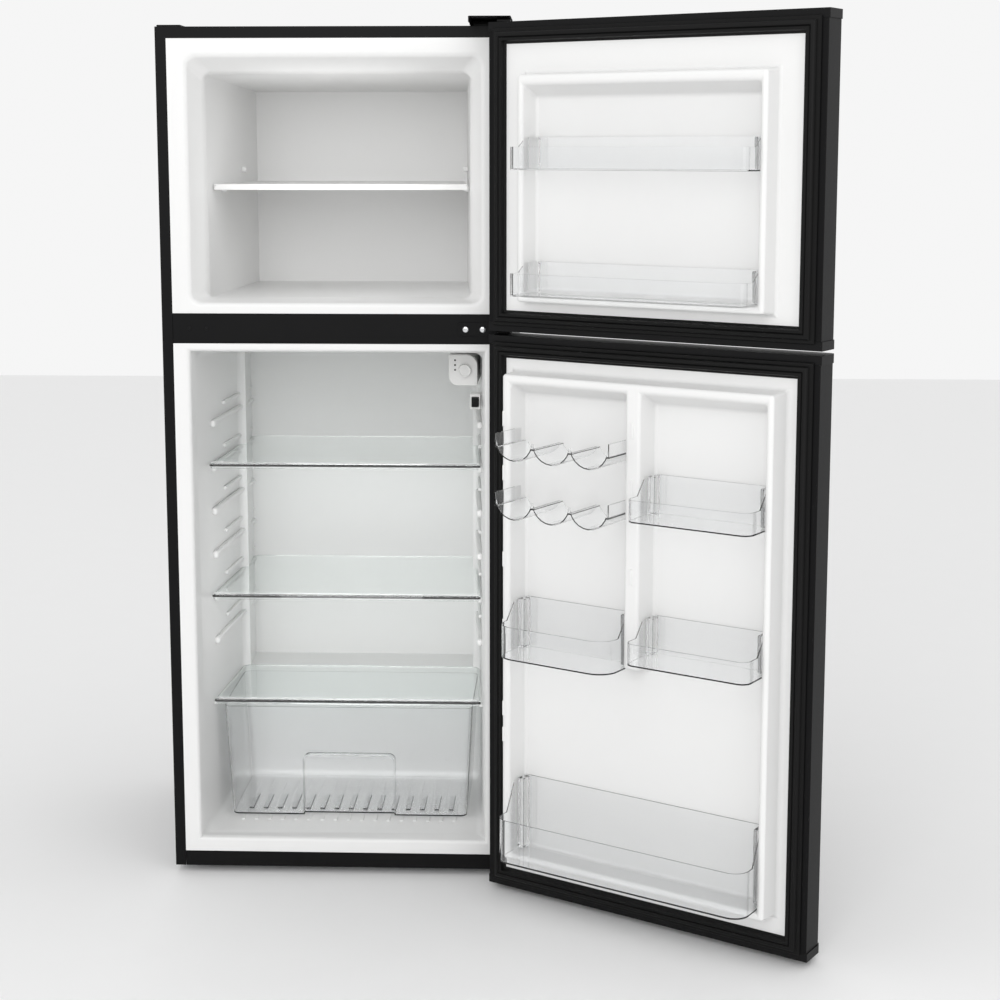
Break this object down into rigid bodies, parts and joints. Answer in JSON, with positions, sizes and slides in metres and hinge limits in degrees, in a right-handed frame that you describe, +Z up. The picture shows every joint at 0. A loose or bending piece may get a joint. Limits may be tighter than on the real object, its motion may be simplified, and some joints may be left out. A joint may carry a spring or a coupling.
{
  "type": "top freezer refrigerator",
  "caption": "Free standing top freezer refrigerator: black cabinet, right-hinged doors stood open, white liners, glass shelves, clear crisper drawer and clear door bins.",
  "frame": {"origin": "on the floor under the middle of the cabinet's footprint", "axes": "+X to the right seen from the front, +Y towards the back, +Z up; the doors open towards -Y and +X"},
  "size_m": [1.0942, 0.9182, 1.4868],
  "materials": {
    "black_steel": "satin black paint",
    "black_plastic": "fine grain black",
    "seal_rubber": "soft matt black",
    "liner_white": "vacuum formed white, soft gloss",
    "part_white": "moulded white",
    "clear_plastic": "clear moulded styrene",
    "shelf_glass": "clear float glass",
    "screw_steel": "bright plated",
    "zinc_steel": "zinc coated",
    "pump_black": "black enamel",
    "copper": "drawn copper",
    "foam_cream": "rigid foam skin",
    "alloy": "roll bonded plate"
  },
  "bodies": {
    "cabinet": {"cabinet_shell": "black_steel", "mid_rail": "black_steel", "base_rail": "black_steel", "top_hinge": "black_steel", "middle_hinge": "black_steel", "bottom_hinge": "black_steel", "rear_foot_left": "black_plastic", "rear_foot_right": "black_plastic", "top_hinge_cover": "black_plastic", "relay_cover": "black_plastic", "drip_tray": "black_plastic", "freezer_liner": "liner_white", "fridge_liner": "liner_white", "thermostat_housing": "part_white", "door_switch_body": "part_white", "lamp_lens": "clear_plastic", "middle_hinge_screw_inner": "screw_steel", "middle_hinge_screw_outer": "screw_steel", "base_plate": "zinc_steel", "compressor_tray": "zinc_steel", "back_panel": "zinc_steel", "condenser_coil": "zinc_steel", "compressor": "pump_black", "suction_pipe": "copper", "cabinet_foam": "foam_cream", "evaporator_plate": "alloy"},
    "freezer_door": {"freezer_door_skin": "black_steel", "freezer_door_top_cap": "black_plastic", "freezer_door_bottom_cap": "black_plastic", "freezer_door_foam": "foam_cream", "freezer_door_liner": "liner_white", "freezer_door_seal": "seal_rubber"},
    "fridge_door": {"fridge_door_skin": "black_steel", "fridge_door_top_cap": "black_plastic", "fridge_door_bottom_cap": "black_plastic", "fridge_door_foam": "foam_cream", "fridge_door_liner": "liner_white", "fridge_door_seal": "seal_rubber"},
    "crisper_drawer": {"crisper_drawer": "clear_plastic"},
    "upper_shelf": {"upper_shelf_glass": "shelf_glass", "upper_shelf_trim": "clear_plastic"},
    "lower_shelf": {"lower_shelf_glass": "shelf_glass", "lower_shelf_trim": "clear_plastic"},
    "crisper_cover": {"crisper_cover_glass": "shelf_glass", "crisper_cover_trim": "clear_plastic"},
    "freezer_shelf": {"freezer_shelf": "part_white"},
    "freezer_bin_upper": {"freezer_door_bin_upper": "clear_plastic"},
    "freezer_bin_lower": {"freezer_door_bin_lower": "clear_plastic"},
    "can_rack_upper": {"can_rack_upper": "clear_plastic"},
    "can_rack_lower": {"can_rack_lower": "clear_plastic"},
    "right_bin_upper": {"door_bin_right_upper": "clear_plastic"},
    "right_bin_lower": {"door_bin_right_lower": "clear_plastic"},
    "left_bin": {"door_bin_left": "clear_plastic"},
    "bottom_bin": {"door_bin_bottom": "clear_plastic"},
    "thermostat_knob": {"thermostat_knob": "part_white"},
    "door_switch_plunger": {"door_switch_plunger": "black_plastic"},
    "levelling_foot_left": {"levelling_foot_left": "black_plastic"},
    "levelling_foot_right": {"levelling_foot_right": "black_plastic"}
  },
  "joints": [
    {"name": "freezer_door_hinge", "type": "hinge", "parent": "cabinet", "child": "freezer_door", "pos_m": [0.2859, -0.2887, 1.2], "axis": [0, 0, 1], "range_deg": [-148.7, 6.3]},
    {"name": "fridge_door_hinge", "type": "hinge", "parent": "cabinet", "child": "fridge_door", "pos_m": [0.2859, -0.2887, 0.5], "axis": [0, 0, 1], "range_deg": [-148.7, 6.3]},
    {"name": "crisper_drawer_slide", "type": "slide", "parent": "cabinet", "child": "crisper_drawer", "axis": [0, -1, 0], "range_m": [0, 0.19]},
    {"name": "upper_shelf_slide", "type": "slide", "parent": "cabinet", "child": "upper_shelf", "axis": [0, -1, 0], "range_m": [0, 0.2]},
    {"name": "lower_shelf_slide", "type": "slide", "parent": "cabinet", "child": "lower_shelf", "axis": [0, -1, 0], "range_m": [0, 0.2]},
    {"name": "crisper_cover_slide", "type": "slide", "parent": "cabinet", "child": "crisper_cover", "axis": [0, -1, 0], "range_m": [0, 0.15]},
    {"name": "freezer_shelf_slide", "type": "slide", "parent": "cabinet", "child": "freezer_shelf", "axis": [0, -1, 0], "range_m": [0, 0.2]},
    {"name": "freezer_bin_upper_lift", "type": "slide", "parent": "freezer_door", "child": "freezer_bin_upper", "axis": [0, 0, 1], "range_m": [0, 0.05]},
    {"name": "freezer_bin_lower_lift", "type": "slide", "parent": "freezer_door", "child": "freezer_bin_lower", "axis": [0, 0, 1], "range_m": [0, 0.05]},
    {"name": "can_rack_upper_lift", "type": "slide", "parent": "fridge_door", "child": "can_rack_upper", "axis": [0, 0, 1], "range_m": [0, 0.04]},
    {"name": "can_rack_lower_lift", "type": "slide", "parent": "fridge_door", "child": "can_rack_lower", "axis": [0, 0, 1], "range_m": [0, 0.04]},
    {"name": "right_bin_upper_lift", "type": "slide", "parent": "fridge_door", "child": "right_bin_upper", "axis": [0, 0, 1], "range_m": [0, 0.05]},
    {"name": "right_bin_lower_lift", "type": "slide", "parent": "fridge_door", "child": "right_bin_lower", "axis": [0, 0, 1], "range_m": [0, 0.05]},
    {"name": "left_bin_lift", "type": "slide", "parent": "fridge_door", "child": "left_bin", "axis": [0, 0, 1], "range_m": [0, 0.05]},
    {"name": "bottom_bin_lift", "type": "slide", "parent": "fridge_door", "child": "bottom_bin", "axis": [0, 0, 1], "range_m": [0, 0.05]},
    {"name": "thermostat_knob_turn", "type": "hinge", "parent": "cabinet", "child": "thermostat_knob", "pos_m": [0.2122, -0.15, 0.887], "axis": [0, -1, 0], "range_deg": [0, 280]},
    {"name": "door_switch_press", "type": "slide", "parent": "cabinet", "child": "door_switch_plunger", "axis": [0, 1, 0], "range_m": [0, 0.008], "stiffness_N_per_m": 120, "springref_m": -0.008},
    {"name": "levelling_foot_left_turn", "type": "hinge", "parent": "cabinet", "child": "levelling_foot_left", "pos_m": [-0.235, -0.202, 0.02], "axis": [0, 0, 1], "continuous": true},
    {"name": "levelling_foot_right_turn", "type": "hinge", "parent": "cabinet", "child": "levelling_foot_right", "pos_m": [0.235, -0.202, 0.02], "axis": [0, 0, 1], "continuous": true}
  ]
}
